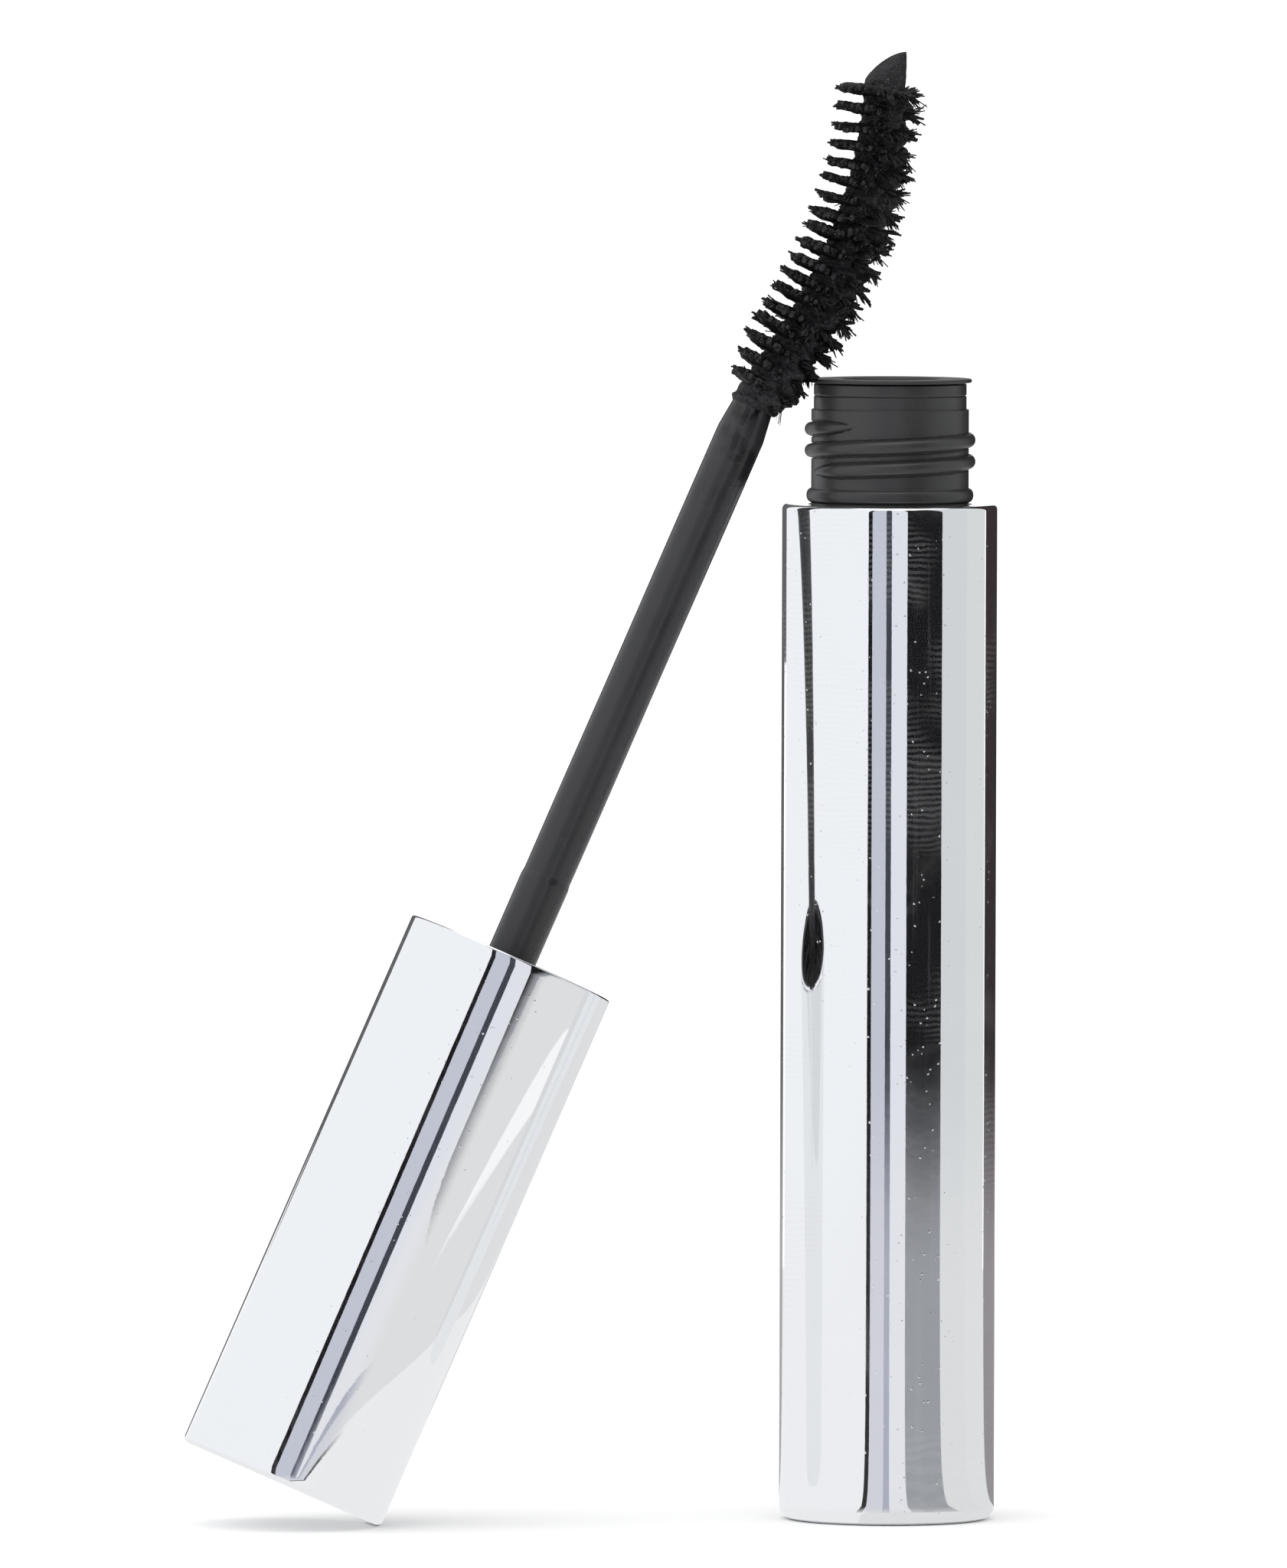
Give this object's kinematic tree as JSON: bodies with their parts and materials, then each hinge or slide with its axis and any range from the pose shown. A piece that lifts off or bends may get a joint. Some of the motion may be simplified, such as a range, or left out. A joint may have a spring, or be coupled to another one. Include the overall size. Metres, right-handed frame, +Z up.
{
  "type": "mascara tube",
  "caption": "Slim mirror-finish mascara vial with a threaded black neck and wiper, its brush wand out and standing beside it on its cap, leaning on the neck.",
  "frame": {"origin": "centre of the vial's flat base, on the table", "axes": "+Z up along the vial's axis; +X towards the side away from the wand; -Y towards the viewer"},
  "size_m": [0.0639, 0.0262, 0.1149],
  "materials": {
    "chrome": "vacuum-metallised mirror finish, faintly smudged",
    "black_plastic": "moulded polypropylene, low gloss",
    "wiper_rubber": "soft low-gloss polyethylene",
    "steel_wire": "drawn stainless wire, twisted",
    "bristle_fibre": "nylon fibres loaded with half-dry black mascara"
  },
  "bodies": {
    "bottle": {"bottle_shell": "chrome", "base_plug": "chrome", "inner_bottle": "black_plastic", "wiper": "wiper_rubber"},
    "wand": {"cap_shell": "chrome", "inner_cap": "black_plastic", "rod": "black_plastic", "brush_wire": "steel_wire", "bristle_turn_01": "bristle_fibre", "bristle_turn_02": "bristle_fibre", "bristle_turn_03": "bristle_fibre", "bristle_turn_04": "bristle_fibre", "bristle_turn_05": "bristle_fibre", "bristle_turn_06": "bristle_fibre", "bristle_turn_07": "bristle_fibre", "bristle_turn_08": "bristle_fibre", "bristle_turn_09": "bristle_fibre", "bristle_turn_10": "bristle_fibre", "bristle_turn_11": "bristle_fibre", "bristle_turn_12": "bristle_fibre", "bristle_turn_13": "bristle_fibre", "bristle_turn_14": "bristle_fibre", "bristle_turn_15": "bristle_fibre", "bristle_turn_16": "bristle_fibre", "bristle_turn_17": "bristle_fibre", "bristle_turn_18": "bristle_fibre"}
  },
  "joints": [
    {"name": "wand_swing", "type": "hinge", "parent": "bottle", "child": "wand", "pos_m": [-0.00152, -0.0003, 0.10566], "axis": [-0.1908, 0.9816, 0], "range_deg": [0, 156.1]}
  ]
}
